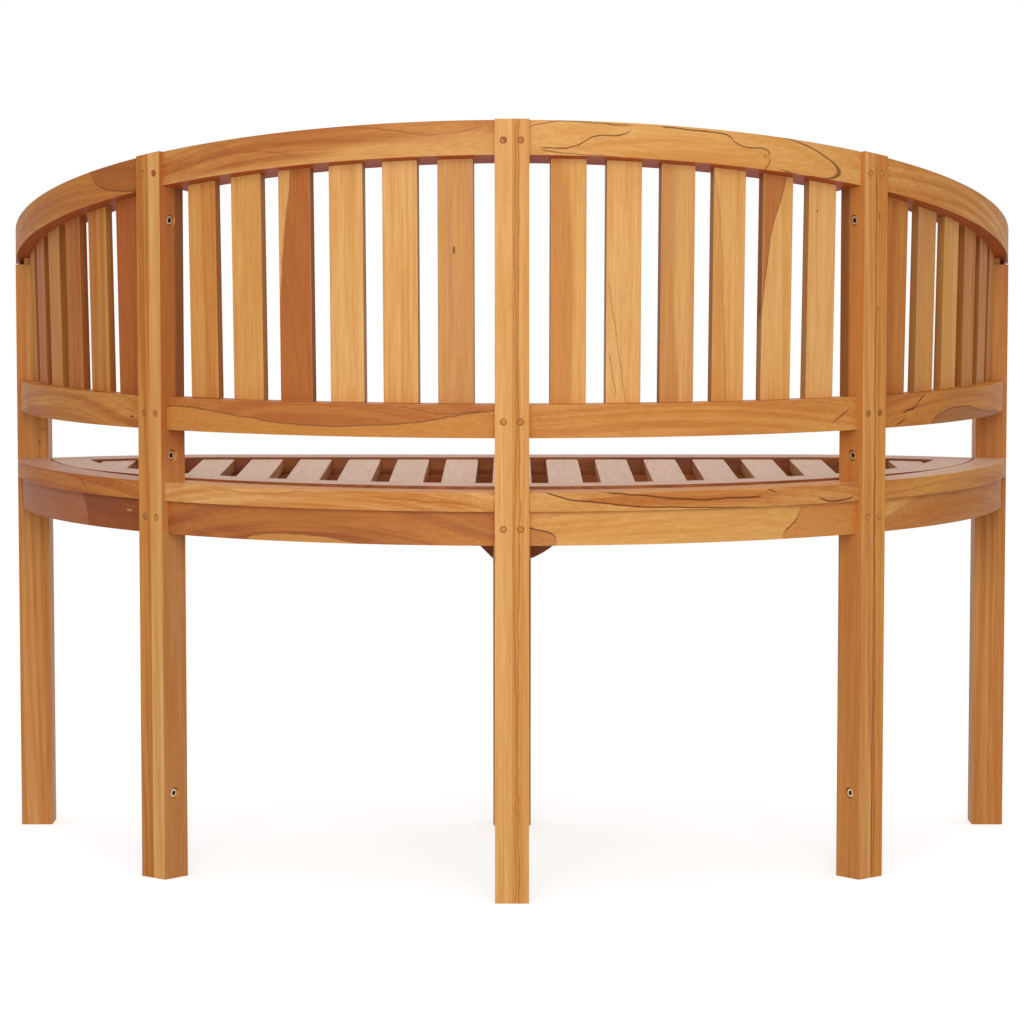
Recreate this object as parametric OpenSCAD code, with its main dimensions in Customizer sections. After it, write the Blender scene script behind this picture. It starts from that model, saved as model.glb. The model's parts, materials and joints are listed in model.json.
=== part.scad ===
// Curved garden bench of oiled hardwood: a slatted back bent round a slatted seat,
// carried by paired posts that are bolted together, two end posts and a middle front leg.

/* [Overall] */
// Radius of the curved back, out to the faces of the posts
back_r = 608; // [560:1:660]
// Height of the back at its middle
back_h = 845; // [800:1:900]
// Angle between neighbouring posts
panel_deg = 41.4; // [39:0.1:42]
// Slope of the top rail, falling towards the front
top_slope = 13.4; // [8:0.1:15]
// Height of the seat
seat_h = 446; // [420:1:470]
// How far the backs of the end posts stand behind the centre of the curve
end_back_y = 104; // [95:1:115]

/* [Posts] */
// Width of each half of a post pair
post_w = 18.5; // [17:0.5:22]
// Depth of the paired posts
post_d = 35.5; // [32:0.5:40]
// Width of an end post
end_w = 37; // [33:0.5:40]
// Depth of an end post
end_d = 40; // [36:0.5:44]
// Width of the middle front leg
leg_w = 45.5; // [40:0.5:52]
// Depth of the middle front leg
leg_d = 36; // [30:0.5:40]
// How far the leg's back stands behind the backs of the end posts
leg_back = 12; // [8:1:14]

/* [Back] */
// Width of the top rail
top_w = 38; // [34:0.5:42]
// Thickness of the top rail
top_t = 36; // [33:0.5:41]
// Distance of the top rail's face behind the post faces
top_inset = 5; // [3:0.5:8]
// Height of the underside of the low rail
low_z = 504; // [485:1:520]
// Height of the low rail's section
low_t = 36; // [32:0.5:40]
// Width of the low rail
low_w = 30; // [27:0.5:32]
// Distance of the low rail's face behind the post faces
low_inset = 8; // [5:0.5:10]
// Width of a back slat
slat_w = 39; // [34:0.5:44]
// Thickness of a back slat
slat_t = 10; // [9:0.5:14]
// Number of slats between two posts
slat_count = 6; // [5:1:6]
// How far the slats stand in front of the low rail's middle line
slat_step = 6; // [4:0.5:7]

/* [Seat ring] */
// Width of the curved seat boards
board_w = 37; // [34:0.5:40]
// Thickness of the seat boards and of the deck frames
board_t = 21; // [18:0.5:24]
// Distance of the board's edge behind the post faces
board_inset = 4; // [2:0.5:6]
// Height of the aprons and of the bearers
apron_h = 37; // [34:0.5:46]
// Thickness of the aprons
apron_t = 22; // [19:0.5:24]
// Distance of the curved apron's face behind the post faces
apron_inset = 9; // [7:0.5:12]
// Distance of the front apron's back before the backs of the end posts
apron_front_inset = 1; // [0.5:0.5:3]

/* [Seat deck] */
// How far the seat's front edge stands before the end posts
nose = 21; // [12:1:30]
// Width of the deck's front rail
deck_front_w = 48; // [42:0.5:54]
// Width of the deck's curved rail
deck_curve_w = 44; // [40:0.5:50]
// Width of each rail along the middle of the seat
deck_mid_w = 20.5; // [17:0.5:24]
// Seam between the two halves of the deck
deck_split = 3; // [1:0.5:4]
// Width of a seat slat
deck_slat_w = 39; // [34:0.5:42]
// Thickness of a seat slat
deck_slat_t = 15; // [12:0.5:17]
// How far the seat slats lie below the tops of their frame
deck_drop = 2.5; // [1:0.5:3.5]
// Open gap between seat slats
deck_gap = 19.8; // [16:0.1:23]
// Open gap between the middle rail and the first slat
deck_first_gap = 18.6; // [16:0.1:23]
// Number of slats in each half of the seat
deck_count = 8; // [6:1:8]
// Radius of the curved back edge of the deck
deck_r = 613; // [600:1:640]
// Gap between deck and ring at the middle of the back
deck_back_gap = 45; // [30:1:60]
// Gap between deck and ring at the ends
deck_end_gap = 2; // [1.5:0.5:8]
// Radius that rounds the front corners of the seat
corner_r = 490; // [450:5:540]
// Where the rounding of the front edge starts, from the middle
corner_x = 330; // [300:5:350]

/* [Supports] */
// Width of the middle bearer
mid_bearer_w = 36; // [30:0.5:37]
// Width of a side bearer
bearer_w = 24; // [20:0.5:30]
// The seat slat that each side bearer lies under, counted from the middle
bearer_slat = 5; // [4:1:6]
// Width of the curved cleats at the ends
cleat_w = 32; // [28:0.5:40]
// Height of the cleats
cleat_h = 20; // [16:0.5:28]
// Reach of the knee brackets along leg and apron
knee = 64; // [50:1:75]
// Thickness of the knee brackets
knee_t = 20; // [16:0.5:22]
// How far the left knee bracket's edge bows out
knee_bow = 9; // [2:0.5:14]

/* [Joints] */
// Length of the tenons in the posts
tenon_l = 13; // [10:0.5:14]
// Thickness of the tenons in the posts
tenon_t = 12; // [9:0.5:13]
// Height of the tenons
tenon_h = 22; // [18:0.5:26]
// Length of the tenons on front aprons and bearers
cross_tenon_l = 11; // [9:0.5:12]
// Thickness of those tenons
cross_tenon_t = 10; // [8:0.5:12]
// Length of the tenons on the back slats
slat_tenon_l = 12; // [8:0.5:14]
// Length of the tenons inside the deck frame
deck_tenon_l = 10; // [8:0.5:12]
// Thickness of the tenons inside the deck frame
deck_tenon_t = 6; // [4:0.5:7]
// Length of the tenon that joins the deck's curved rail to its front rail
corner_tenon_l = 18; // [14:1:20]
// Diameter of the wooden pegs
peg_d = 7; // [5:0.5:8]
// Length of the pegs in the paired posts
peg_l = 30; // [24:1:32]
// Length of the pegs in the end posts
end_peg_l = 21; // [18:0.5:22]
// Diameter of the hidden dowels
dowel_d = 8; // [6:0.5:9]
// Length of the hidden dowels
dowel_l = 30; // [24:1:32]
// Diameter of the dowels in the knee brackets
knee_dowel_d = 6; // [5:0.5:8]
// Length of the dowels in the knee brackets
knee_dowel_l = 22; // [18:1:24]
// Clearance round tenons, pegs and bolts
fit = 0.2; // [0.1:0.05:0.3]
// Gap left at the bottom of a mortise
mortise_gap = 1; // [0.5:0.5:1.5]
// Seam between the two posts of a pair
seam = 0.4; // [0.2:0.1:0.8]

/* [Hardware] */
// Diameter of the bolt shanks
bolt_d = 6; // [5:0.5:7]
// Diameter of the bolt heads and nuts
head_d = 10; // [8.5:0.5:11]
// Height of a bolt head
head_h = 3; // [2:0.5:4]
// Height of a nut
nut_h = 4; // [3:0.5:4.5]
// Diameter of the recess round a bolt head
recess_d = 13; // [12:0.5:16]
// Depth of that recess
recess_deep = 5; // [4:0.5:6]
// Height of the lowest bolt
bolt_low_z = 96; // [80:1:120]
// Distance of the highest bolt below the middle of the top rail's tenon
bolt_drop = 52; // [40:1:80]
// Diameter of the seat screws
screw_d = 4.5; // [3.5:0.5:5]
// Diameter of their heads
screw_head_d = 9; // [8:0.5:10]
// Height of their heads
screw_head_h = 3.5; // [2.5:0.5:4]
// Depth of the heads in the bearers and front aprons
screw_deep = 12; // [8:1:16]
// Depth of the heads in the cleats
cleat_screw_deep = 6; // [4:0.5:8]
// Wood left above the tips of the screws
screw_cover = 8; // [6:0.5:10]

/* [Hidden] */
$fn = 48;
round_fn = 240;

honey = "#d6965a";
amber = "#c9823f";
reddish = "#b8734a";
pale = "#e0b48c";
steel = "#c8cacc";

// Shoulders of the tenons, and how far a tenon's root runs back into its own piece
slat_shoulder = 6;
slat_cheek = 2;
head_shoulder = 9;
mid_shoulder = 5;
root = 6;
lap = 1;
dowel_edge_deg = 4;
bearer_tenon_inset = 8;

// Plan: y runs back from the centre of the curve, and every height is counted from the floor
end_front_y = end_back_y - end_d;
seat_front_y = end_front_y - nose;
front_apron_y = end_back_y - apron_front_inset - apron_t;
leg_y = end_back_y + leg_back - leg_d;
curve_y = -(back_r + seat_front_y) / 2;
far = back_r * 1.6;
near = back_r / 2;
frame_top = seat_h - board_t;
apron_z = frame_top - apron_h;
low_top = low_z + low_t;

top_r = back_r - top_inset;
low_r = back_r - low_inset;
board_r = back_r - board_inset;
apron_r = back_r - apron_inset;
apron_in_r = apron_r - apron_t;
ring_in_r = board_r - board_w;
end_out_x = sqrt(board_r * board_r - end_back_y * end_back_y);
end_in_x = end_out_x - end_w;

// Middle lines and heights of the rails' tenons
top_tenon_r = top_r - top_w / 2;
low_tenon_r = low_r - low_w / 2;
apron_tenon_r = apron_r - apron_t / 2;
low_tenon_z = low_z + low_t / 2;
apron_tenon_z = apron_z + apron_h / 2;

// Height of the top rail's upper face at distance y behind the centre
function top_z(y) = back_h - tan(top_slope) * (back_r - y);
// Middle height of the top rail's tenon at a post
function top_tenon_z(deg) = top_z((back_r - post_d / 2) * cos(deg)) - top_t / cos(top_slope) / 2;
// Level head of the end posts, whose front edge meets the sloping underside of the top rail
end_head_z = top_z(end_front_y) - top_t / cos(top_slope);
// Point at an angle from the middle of the back, a radius, and a step sideways
function spot(deg, r, off = 0) = [r * sin(deg) + off * cos(deg), r * cos(deg) - off * sin(deg)];
// Extra depth of a hole past the end of what it holds, when grow asks for a hole
function past(grow) = grow > 0 ? mortise_gap : 0;

// Slats: the middle radius at the low rail, and the lean out to the top rail's middle line
slat_low_r = low_tenon_r - slat_step;
slat_rise = top_z(back_r) - top_t - low_top;
slat_lean = atan((top_tenon_r - slat_low_r) / slat_rise);
slat_deg = panel_deg / (slat_count + 1);
slat_root = 40;

deck_cy = ring_in_r - deck_back_gap - deck_r;
deck_pitch = deck_slat_w + deck_gap;
deck_slat_z = seat_h - deck_drop - deck_slat_t;
deck_mid_x = deck_split / 2 + deck_mid_w;
deck_first = deck_mid_x + deck_first_gap;
bearer_x = deck_first + (bearer_slat - 1) * deck_pitch + deck_slat_w / 2;
bearer_back_y = sqrt(apron_in_r * apron_in_r - pow(bearer_x + bearer_w / 2, 2));
deck_curve_y = deck_cy + sqrt(pow(deck_r - deck_curve_w / 2, 2) - bearer_x * bearer_x);

// Inner corner of the deck frame, where the circles of its front rail and its curved rail cross
corner_c = [corner_x, seat_front_y + corner_r];
corner_in_r = corner_r - deck_front_w;
deck_in_r = ring_in_r - deck_end_gap - deck_curve_w;
corner_d = norm(corner_c);
corner_a = (deck_in_r * deck_in_r - corner_in_r * corner_in_r + corner_d * corner_d) / (2 * corner_d);
corner_h = sqrt(deck_in_r * deck_in_r - corner_a * corner_a);
corner_p = (corner_a * corner_c + corner_h * [corner_c.y, -corner_c.x]) / corner_d;
corner_deg = atan2(corner_p.x, corner_p.y);

// Angles of the cleats and of the dowels that stand in the aprons
cleat_from = panel_deg + 9;
cleat_to = corner_deg - 3;
dowel_inner_deg = [for (k = [1, 3, 5]) panel_deg * k / 6];
dowel_outer_deg = [for (k = [1, 2.9, 4.8]) panel_deg + panel_deg * k / 6];

bolt_y = back_r - post_d / 2 + 1;
bolt_seat = post_w - recess_deep;
bolt_heights = [bolt_low_z, (seat_h + low_z) / 2, top_tenon_z(panel_deg) - bolt_drop];

// Seat screws: x, y, the height where the hole starts, and the depth of the head
screws = [
    [bearer_x + deck_pitch / 2, (front_apron_y + seat_front_y + deck_front_w) / 2, apron_z, screw_deep],
    [bearer_x, deck_curve_y, apron_z, screw_deep],
    concat(
        spot((cleat_from + cleat_to) / 2, (apron_in_r - cleat_w + ring_in_r - deck_end_gap) / 2),
        [frame_top - cleat_h, cleat_screw_deep]
    ),
];

// Local frame on the curve: X along it, Y outwards
module at(deg, r = 0) rotate([0, 0, -deg]) translate([0, r, 0]) children();
module placed() translate([0, curve_y, 0]) children();
module side(s) mirror([s < 0 ? 1 : 0, 0, 0]) children();

module block(from, to) translate(from) cube(to - from);
module slab(z, h) translate([0, 0, z]) linear_extrude(h) children();
module ring(r, w) difference() {
    circle(r, $fn = round_fn);
    circle(r - w, $fn = round_fn);
}
module peg(d, h, grow) translate([0, 0, -past(grow)]) cylinder(d = d + 2 * grow, h = h + 2 * past(grow));

// Everything above a plane that lies parallel to the top rail's upper face
module above_top(drop = 0) translate([0, back_r, back_h]) rotate([top_slope, 0, 0])
    translate([-far, -far * 2, -drop]) cube([far * 2, far * 3, back_h]);

// Plan of the space between two posts
module bay_inner() polygon([
    spot(0, near, post_w), spot(0, far, post_w),
    spot(panel_deg, far, -post_w), spot(panel_deg, near, -post_w),
]);
module bay_outer(front_y) polygon([
    spot(panel_deg, near, post_w), spot(panel_deg, far, post_w),
    [far, far], [far, front_y], [near, front_y],
]);
module ring_inner(r, w) intersection() {
    ring(r, w);
    bay_inner();
}
module ring_outer(r, w, front_y) intersection() {
    ring(r, w);
    bay_outer(front_y);
}

// Tenon into the side of a post at angle deg, on its side s; grow makes the mortise
module post_tenon(deg, s, r, z, grow = 0) {
    inner = post_w - tenon_l - past(grow);
    outer = post_w + root;
    at(deg, r) translate([s * (inner + outer) / 2, 0, z])
        cube([outer - inner, tenon_t + 2 * grow, tenon_h + 2 * grow], center = true);
}
// Tenon into the back of the right end post
module end_tenon(r, z, grow = 0) {
    inner = end_back_y - tenon_l - past(grow);
    outer = end_back_y + root;
    translate([sqrt(r * r - end_back_y * end_back_y), (inner + outer) / 2, z])
        cube([tenon_t + 2 * grow, outer - inner, tenon_h + 2 * grow], center = true);
}
// Tenon on top of the right end post, up into the top rail
module head_tenon(grow = 0) {
    wide = end_w - 2 * head_shoulder + 2 * grow;
    deep = end_d - 2 * head_shoulder + 2 * grow;
    difference() {
        translate([(end_in_x + end_out_x - wide) / 2, end_front_y + (end_d - deep) / 2, seat_h])
            cube([wide, deep, back_h]);
        above_top(top_t / 2 - past(grow));
    }
}
// Tenon of a front apron along X from its shoulder, towards dir
module front_tenon(shoulder_x, dir, grow = 0) {
    long = cross_tenon_l + past(grow);
    translate([shoulder_x + dir * (long - root) / 2, front_apron_y + apron_t / 2, apron_tenon_z])
        cube([long + root, cross_tenon_t + 2 * grow, tenon_h + 2 * grow], center = true);
}
// Tenon of a bearer along Y from its shoulder, towards dir
module bearer_tenon(x, shoulder_y, dir, grow = 0) {
    long = cross_tenon_l + past(grow);
    translate([x, shoulder_y + dir * (long - root) / 2, apron_tenon_z])
        cube([cross_tenon_t + 2 * grow, long + root, tenon_h + 2 * grow], center = true);
}

// Pegs through the tenons in one half of a post pair, driven in from the back
module post_pegs(deg, s, grow = 0) for (z = [apron_tenon_z, low_tenon_z, top_tenon_z(deg)])
    at(deg, back_r - peg_l) translate([s * post_w / 2, 0, z]) rotate([-90, 0, 0]) peg(peg_d, peg_l, grow);
// Pegs driven in from the outer side of the right end post
module end_pegs(grow = 0) for (z = [apron_tenon_z, low_tenon_z])
    translate([end_out_x - end_peg_l, end_back_y - tenon_l / 2, z]) rotate([0, 90, 0])
        peg(peg_d, end_peg_l, grow);

// Bolt holes through one post of a pair, with a recess on its free side
module bolt_holes(deg, s) for (z = bolt_heights) at(deg, bolt_y) translate([0, 0, z]) rotate([0, s * 90, 0]) {
    translate([0, 0, -post_w]) cylinder(d = bolt_d + 4 * fit, h = post_w * 3);
    translate([0, 0, bolt_seat]) cylinder(d = recess_d, h = post_w);
}

// One half of a post pair, on side s of the joint at angle deg
module half_post(deg, s) color(honey) difference() {
    at(deg) translate([s > 0 ? seam / 2 : -post_w, back_r - post_d, 0])
        cube([post_w - seam / 2, post_d, back_h + post_w]);
    above_top();
    post_tenon(deg, s, top_tenon_r, top_tenon_z(deg), fit);
    post_tenon(deg, s, low_tenon_r, low_tenon_z, fit);
    post_tenon(deg, s, apron_tenon_r, apron_tenon_z, fit);
    post_pegs(deg, s, fit);
    bolt_holes(deg, s);
    if (deg == 0) bearer_tenon(0, back_r - post_d, 1, fit);
}

// The right end post, with its tenon into the top rail
module end_post() color(amber) {
    difference() {
        block([end_in_x, end_front_y, 0], [end_out_x, end_back_y, end_head_z]);
        end_tenon(low_tenon_r, low_tenon_z, fit);
        end_tenon(apron_tenon_r, apron_tenon_z, fit);
        front_tenon(end_in_x, 1, fit);
        end_pegs(fit);
    }
    intersection() {
        head_tenon();
        slab(end_head_z - root, back_h) square([far, far]);
    }
}

module front_leg() color(honey) difference() {
    block([-leg_w / 2, leg_y, 0], [leg_w / 2, leg_y + leg_d, frame_top]);
    for (s = [-1, 1]) front_tenon(s * leg_w / 2, -s, fit);
    bearer_tenon(0, leg_y + leg_d, -1, fit);
}

// Slats of the bay that starts at first_deg; they lean out and run from the low to the top rail
module slat_bars(first_deg, w, t) for (i = [1:slat_count])
    at(first_deg + i * slat_deg, slat_low_r) translate([0, 0, low_top]) rotate([-slat_lean, 0, 0])
        translate([-w / 2, -t / 2, -slat_root]) cube([w, t, back_h - low_top]);
module slat_zone(g) difference() {
    translate([-far, -far, low_top - g]) cube([far * 2, far * 2, back_h]);
    above_top(top_t - g);
}
module slat_tenons(first_deg, grow = 0) intersection() {
    slat_bars(first_deg, slat_w - 2 * slat_shoulder + 2 * grow, slat_t - 2 * slat_cheek + 2 * grow);
    slat_zone(slat_tenon_l + past(grow));
}
module slat_set(first_deg) color(amber) {
    intersection() {
        slat_bars(first_deg, slat_w, slat_t);
        slat_zone(0);
    }
    slat_tenons(first_deg);
}

// Top rail: a curved board cut from the sloping layer under the top plane
module top_body() difference() {
    intersection() {
        slab(low_top, back_h) children();
        above_top(top_t);
    }
    above_top();
}
module top_rail_inner() color(honey) difference() {
    union() {
        top_body() ring_inner(top_r, top_w);
        post_tenon(0, 1, top_tenon_r, top_tenon_z(0));
        post_tenon(panel_deg, -1, top_tenon_r, top_tenon_z(panel_deg));
    }
    post_pegs(0, 1, fit);
    post_pegs(panel_deg, -1, fit);
    slat_tenons(0, fit);
}
module top_rail_outer() color(amber) difference() {
    union() {
        top_body() ring_outer(top_r, top_w, end_front_y);
        post_tenon(panel_deg, 1, top_tenon_r, top_tenon_z(panel_deg));
    }
    post_pegs(panel_deg, 1, fit);
    slat_tenons(panel_deg, fit);
    head_tenon(fit);
}

module low_rail_inner() color(honey) difference() {
    union() {
        slab(low_z, low_t) ring_inner(low_r, low_w);
        post_tenon(0, 1, low_tenon_r, low_tenon_z);
        post_tenon(panel_deg, -1, low_tenon_r, low_tenon_z);
    }
    post_pegs(0, 1, fit);
    post_pegs(panel_deg, -1, fit);
    slat_tenons(0, fit);
}
module low_rail_outer() color(amber) difference() {
    union() {
        slab(low_z, low_t) ring_outer(low_r, low_w, end_back_y);
        post_tenon(panel_deg, 1, low_tenon_r, low_tenon_z);
        end_tenon(low_tenon_r, low_tenon_z);
    }
    post_pegs(panel_deg, 1, fit);
    end_pegs(fit);
    slat_tenons(panel_deg, fit);
}

// Seat boards lie on the curved aprons, on dowels that stand in them
module ring_dowels(degs, grow = 0) for (deg = degs)
    at(deg, apron_tenon_r) translate([0, 0, frame_top - dowel_l / 2]) peg(dowel_d, dowel_l, grow);
module board_inner() color(honey) difference() {
    slab(frame_top, board_t) ring_inner(board_r, board_w);
    ring_dowels(dowel_inner_deg, fit);
}
module board_outer() color(amber) difference() {
    slab(frame_top, board_t) ring_outer(board_r, board_w, end_back_y);
    ring_dowels(dowel_outer_deg, fit);
}

module apron_inner() color(reddish) difference() {
    union() {
        slab(apron_z, apron_h) ring_inner(apron_r, apron_t);
        post_tenon(0, 1, apron_tenon_r, apron_tenon_z);
        post_tenon(panel_deg, -1, apron_tenon_r, apron_tenon_z);
    }
    post_pegs(0, 1, fit);
    post_pegs(panel_deg, -1, fit);
    ring_dowels(dowel_inner_deg, fit);
    bearer_back_tenon(fit);
}
module apron_outer() color(reddish) difference() {
    union() {
        slab(apron_z, apron_h) ring_outer(apron_r, apron_t, end_back_y);
        post_tenon(panel_deg, 1, apron_tenon_r, apron_tenon_z);
        end_tenon(apron_tenon_r, apron_tenon_z);
    }
    post_pegs(panel_deg, 1, fit);
    end_pegs(fit);
    ring_dowels(dowel_outer_deg, fit);
    cleat_dowels(fit);
}
module front_apron() color(reddish) difference() {
    union() {
        block([leg_w / 2, front_apron_y, apron_z], [end_in_x, front_apron_y + apron_t, frame_top]);
        front_tenon(leg_w / 2, -1);
        front_tenon(end_in_x, 1);
    }
    bearer_tenon(bearer_x, front_apron_y + apron_t, -1, fit);
    knee_dowel(fit);
    screw_holes();
}

// Plan of the deck's right half; g moves each edge outwards
module front_shape(g) {
    translate([-far, seat_front_y - g]) square([far + corner_x, far]);
    translate(corner_c) circle(corner_r + g, $fn = round_fn * 2);
}
module back_shape(g) intersection() {
    circle(ring_in_r - deck_end_gap + g, $fn = round_fn);
    translate([0, deck_cy]) circle(deck_r + g, $fn = round_fn);
}
module beside_middle(x) translate([x, -far]) square([far, far * 2]);
module deck_outline() intersection() {
    front_shape(0);
    back_shape(0);
    beside_middle(deck_split / 2);
}
// Plan of the open window inside the deck frame
module deck_window(g) intersection() {
    front_shape(g - deck_front_w);
    back_shape(g - deck_curve_w);
    beside_middle(deck_mid_x);
}
// Plan of everything behind the deck's front rail; past the inner corner it ends on a radial joint
module rear_zone(g = 0) {
    intersection() {
        front_shape(g - deck_front_w);
        translate([-far, -far]) square([far + corner_p.x, far * 2]);
    }
    polygon([
        corner_p, corner_p * 2, [corner_p.x * 2, far],
        [corner_p.x - lap, far], [corner_p.x - lap, corner_p.y],
    ]);
}
module deck_slat_plans(w, g) intersection() {
    for (k = [0:deck_count - 1])
        translate([deck_first + k * deck_pitch + (deck_slat_w - w) / 2, 0]) square([w, far]);
    deck_window(g);
}
module deck_slat_tenons(grow = 0)
    slab(deck_slat_z + (deck_slat_t - deck_tenon_t) / 2 - grow, deck_tenon_t + 2 * grow)
        deck_slat_plans(deck_slat_w - 2 * slat_shoulder + 2 * grow, deck_tenon_l + past(grow));
module deck_mid_tenons(grow = 0)
    slab(seat_h - (board_t + deck_tenon_t) / 2 - grow, deck_tenon_t + 2 * grow) intersection() {
        translate([deck_split / 2 + mid_shoulder - grow, 0])
            square([deck_mid_w - 2 * mid_shoulder + 2 * grow, far]);
        rear_zone(deck_tenon_l + past(grow));
        back_shape(deck_tenon_l + past(grow) - deck_curve_w);
    }
module deck_corner_tenon(grow = 0) {
    long = corner_tenon_l + past(grow);
    at(corner_deg, deck_in_r + deck_curve_w / 2) translate([(long - root) / 2, 0, seat_h - board_t / 2])
        cube([long + root, deck_curve_w / 2 + 2 * grow, deck_tenon_t + 2 * grow], center = true);
}
module deck_front() color(pale) difference() {
    slab(frame_top, board_t) difference() {
        deck_outline();
        rear_zone();
    }
    deck_slat_tenons(fit);
    deck_mid_tenons(fit);
    deck_corner_tenon(fit);
    screw_holes();
}
module deck_curve() color(pale) difference() {
    union() {
        slab(frame_top, board_t) difference() {
            intersection() {
                deck_outline();
                rear_zone();
            }
            back_shape(-deck_curve_w);
        }
        deck_corner_tenon();
    }
    deck_slat_tenons(fit);
    deck_mid_tenons(fit);
    screw_holes();
}
module deck_mid() color(pale) {
    slab(frame_top, board_t) intersection() {
        translate([deck_split / 2, 0]) square([deck_mid_w, far]);
        rear_zone();
        back_shape(-deck_curve_w);
    }
    deck_mid_tenons();
}
module deck_slats() color(pale) {
    slab(deck_slat_z, deck_slat_t) deck_slat_plans(deck_slat_w, 0);
    deck_slat_tenons();
}

// Bearers under the deck
module middle_bearer() color(reddish) {
    block([-mid_bearer_w / 2, leg_y + leg_d, apron_z], [mid_bearer_w / 2, back_r - post_d, frame_top]);
    bearer_tenon(0, leg_y + leg_d, -1);
    bearer_tenon(0, back_r - post_d, 1);
}
module bearer_back_tenon(grow = 0) intersection() {
    bearer_tenon(bearer_x, bearer_back_y + root, 1, grow);
    slab(0, back_h) circle(apron_r - bearer_tenon_inset + past(grow), $fn = round_fn);
}
module side_bearer() color(reddish) difference() {
    union() {
        slab(apron_z, apron_h) intersection() {
            translate([bearer_x - bearer_w / 2, front_apron_y + apron_t]) square([bearer_w, far]);
            circle(apron_in_r, $fn = round_fn);
        }
        bearer_tenon(bearer_x, front_apron_y + apron_t, -1);
        bearer_back_tenon();
    }
    screw_holes();
}

// Curved cleats on the inside of the outer aprons, held by dowels
module cleat() color(reddish) difference() {
    slab(frame_top - cleat_h, cleat_h) intersection() {
        ring(apron_in_r, cleat_w);
        polygon([spot(cleat_from, near), spot(cleat_from, far), spot(cleat_to, far), spot(cleat_to, near)]);
    }
    cleat_dowels(fit);
    screw_holes();
}
module cleat_dowels(grow = 0) for (deg = [cleat_from + dowel_edge_deg, cleat_to - dowel_edge_deg])
    at(deg, apron_in_r - dowel_l / 2) translate([0, 0, frame_top - cleat_h / 2]) rotate([-90, 0, 0])
        peg(dowel_d, dowel_l, grow);

// Knee brackets between the middle leg and the front aprons; bow rounds the free edge
module bow_circle(bow) {
    half = knee / sqrt(2);
    r = (half * half + bow * bow) / (2 * bow);
    translate([1, -1] * (knee / 2 - (r - bow) / sqrt(2))) circle(r, $fn = round_fn);
}
module knee_bracket(bow) color(reddish) difference() {
    translate([leg_w / 2, front_apron_y + (apron_t + knee_t) / 2, apron_z]) rotate([90, 0, 0])
        linear_extrude(knee_t) intersection() {
            translate([0, -knee]) square(knee);
            union() {
                polygon([[0, 0], [knee, 0], [0, -knee]]);
                if (bow > 0) bow_circle(bow);
            }
        }
    knee_dowel(fit);
}
module knee_dowel(grow = 0)
    translate([(leg_w + knee) / 2, front_apron_y + apron_t / 2, apron_z - knee_dowel_l / 2])
        peg(knee_dowel_d, knee_dowel_l, grow);

// Screws that come up through the bearers, the front aprons and the cleats into the deck
module screw_holes() for (s = screws) translate([s[0], s[1], s[2] - lap]) {
    cylinder(d = screw_d + 2 * fit, h = seat_h - screw_cover - s[2] + 2 * lap);
    cylinder(d = screw_head_d + 2 * fit, h = s[3] + lap);
}
module deck_screw(s) {
    base = s[2] + s[3] - screw_head_h;
    translate([s[0], s[1], base]) {
        cylinder(d = screw_d, h = seat_h - screw_cover - base);
        cylinder(d = screw_head_d, h = screw_head_h);
    }
}
module all_screws() color(steel) for (s = [-1, 1], screw = screws) side(s) deck_screw(screw);

module all_pegs() color(reddish) {
    for (deg = [-panel_deg, 0, panel_deg], s = [-1, 1]) post_pegs(deg, s);
    for (s = [-1, 1]) side(s) end_pegs();
}
module all_dowels() color(pale) for (s = [-1, 1]) side(s) {
    ring_dowels(dowel_inner_deg);
    ring_dowels(dowel_outer_deg);
    cleat_dowels();
    knee_dowel();
}

// Bolts lie along the curve, with the head in one recess and the nut in the other
module bolt_places() for (z = bolt_heights) {
    at(0, bolt_y) translate([0, 0, z]) rotate([0, 90, 0]) children();
    for (s = [-1, 1]) side(s) at(panel_deg, bolt_y) translate([0, 0, z]) rotate([0, 90, 0]) children();
}
module all_bolts() color(steel) bolt_places() translate([0, 0, -bolt_seat]) {
    cylinder(d = bolt_d, h = 2 * bolt_seat + nut_h);
    translate([0, 0, -head_h]) cylinder(d = head_d, h = head_h);
}
module all_nuts() color(steel) bolt_places() translate([0, 0, bolt_seat]) difference() {
    cylinder(d = head_d, h = nut_h);
    translate([0, 0, -lap]) cylinder(d = bolt_d + 2 * fit, h = nut_h + 2 * lap);
}

placed() half_post(0, -1);  // post_back_left
placed() half_post(0, 1);  // post_back_right
placed() side(-1) half_post(panel_deg, -1);  // post_inner_left
placed() half_post(panel_deg, -1);  // post_inner_right
placed() side(-1) half_post(panel_deg, 1);  // post_outer_left
placed() half_post(panel_deg, 1);  // post_outer_right
placed() side(-1) end_post();  // post_end_left
placed() end_post();  // post_end_right
placed() front_leg();  // leg_front
placed() side(-1) top_rail_inner();  // top_rail_inner_left
placed() top_rail_inner();  // top_rail_inner_right
placed() side(-1) top_rail_outer();  // top_rail_outer_left
placed() top_rail_outer();  // top_rail_outer_right
placed() side(-1) low_rail_inner();  // low_rail_inner_left
placed() low_rail_inner();  // low_rail_inner_right
placed() side(-1) low_rail_outer();  // low_rail_outer_left
placed() low_rail_outer();  // low_rail_outer_right
placed() side(-1) slat_set(0);  // slats_inner_left
placed() slat_set(0);  // slats_inner_right
placed() side(-1) slat_set(panel_deg);  // slats_outer_left
placed() slat_set(panel_deg);  // slats_outer_right
placed() side(-1) board_inner();  // board_inner_left
placed() board_inner();  // board_inner_right
placed() side(-1) board_outer();  // board_outer_left
placed() board_outer();  // board_outer_right
placed() side(-1) apron_inner();  // apron_inner_left
placed() apron_inner();  // apron_inner_right
placed() side(-1) apron_outer();  // apron_outer_left
placed() apron_outer();  // apron_outer_right
placed() side(-1) front_apron();  // apron_front_left
placed() front_apron();  // apron_front_right
placed() side(-1) deck_front();  // deck_front_left
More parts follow.
